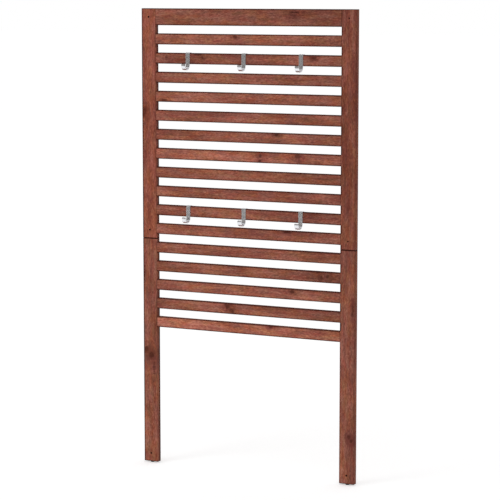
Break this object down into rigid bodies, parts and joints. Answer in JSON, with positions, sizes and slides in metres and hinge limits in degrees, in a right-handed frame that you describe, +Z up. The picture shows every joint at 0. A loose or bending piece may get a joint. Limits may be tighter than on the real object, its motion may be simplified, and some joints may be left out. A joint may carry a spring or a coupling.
{
  "type": "outdoor wall panel",
  "caption": "Tall slatted wooden wall panel in two sections with a top rail, flat posts on plastic glides, and sliding strip hooks hung over the slats.",
  "frame": {"origin": "at floor level, midway between the posts, in the plane of the front faces of the boards", "axes": "+Z up along the posts, +X to the right seen from the front, +Y from the front to the back, towards the wall"},
  "size_m": [0.8, 0.0543, 1.58],
  "materials": {
    "stained_wood": "brown stained hardwood, matt, with grain and knots",
    "hook_steel": "bent steel strip, satin on the flat and bright in the bend",
    "zinc_plated_steel": "zinc plated steel, satin",
    "dowel_wood": "plain beech",
    "black_plastic": "moulded black plastic, matt"
  },
  "bodies": {
    "panel": {"upper_left_post": "stained_wood", "upper_right_post": "stained_wood", "lower_left_post": "stained_wood", "lower_right_post": "stained_wood", "top_rail": "stained_wood", "slat_01": "stained_wood", "slat_02": "stained_wood", "slat_03": "stained_wood", "slat_04": "stained_wood", "slat_05": "stained_wood", "slat_06": "stained_wood", "slat_07": "stained_wood", "slat_08": "stained_wood", "slat_09": "stained_wood", "slat_10": "stained_wood", "slat_11": "stained_wood", "slat_12": "stained_wood", "slat_13": "stained_wood", "slat_14": "stained_wood", "slat_15": "stained_wood", "slat_16": "stained_wood", "left_joining_plate": "zinc_plated_steel", "right_joining_plate": "zinc_plated_steel", "left_plate_screws": "zinc_plated_steel", "right_plate_screws": "zinc_plated_steel", "left_seam_dowels": "dowel_wood", "right_seam_dowels": "dowel_wood", "left_glide": "black_plastic", "right_glide": "black_plastic"},
    "hook_upper_left": {"hook_upper_left": "hook_steel"},
    "hook_upper_middle": {"hook_upper_middle": "hook_steel"},
    "hook_upper_right": {"hook_upper_right": "hook_steel"},
    "hook_lower_left": {"hook_lower_left": "hook_steel"},
    "hook_lower_middle": {"hook_lower_middle": "hook_steel"},
    "hook_lower_right": {"hook_lower_right": "hook_steel"}
  },
  "joints": [
    {"name": "hook_upper_left_slide", "type": "slide", "parent": "panel", "child": "hook_upper_left", "axis": [1, 0, 0], "range_m": [-0.1155, 0.0975]},
    {"name": "hook_upper_middle_slide", "type": "slide", "parent": "panel", "child": "hook_upper_middle", "axis": [1, 0, 0], "range_m": [-0.0975, 0.0975]},
    {"name": "hook_upper_right_slide", "type": "slide", "parent": "panel", "child": "hook_upper_right", "axis": [1, 0, 0], "range_m": [-0.0975, 0.1355]},
    {"name": "hook_lower_left_slide", "type": "slide", "parent": "panel", "child": "hook_lower_left", "axis": [1, 0, 0], "range_m": [-0.1155, 0.0975]},
    {"name": "hook_lower_middle_slide", "type": "slide", "parent": "panel", "child": "hook_lower_middle", "axis": [1, 0, 0], "range_m": [-0.0975, 0.0975]},
    {"name": "hook_lower_right_slide", "type": "slide", "parent": "panel", "child": "hook_lower_right", "axis": [1, 0, 0], "range_m": [-0.0975, 0.1355]}
  ]
}
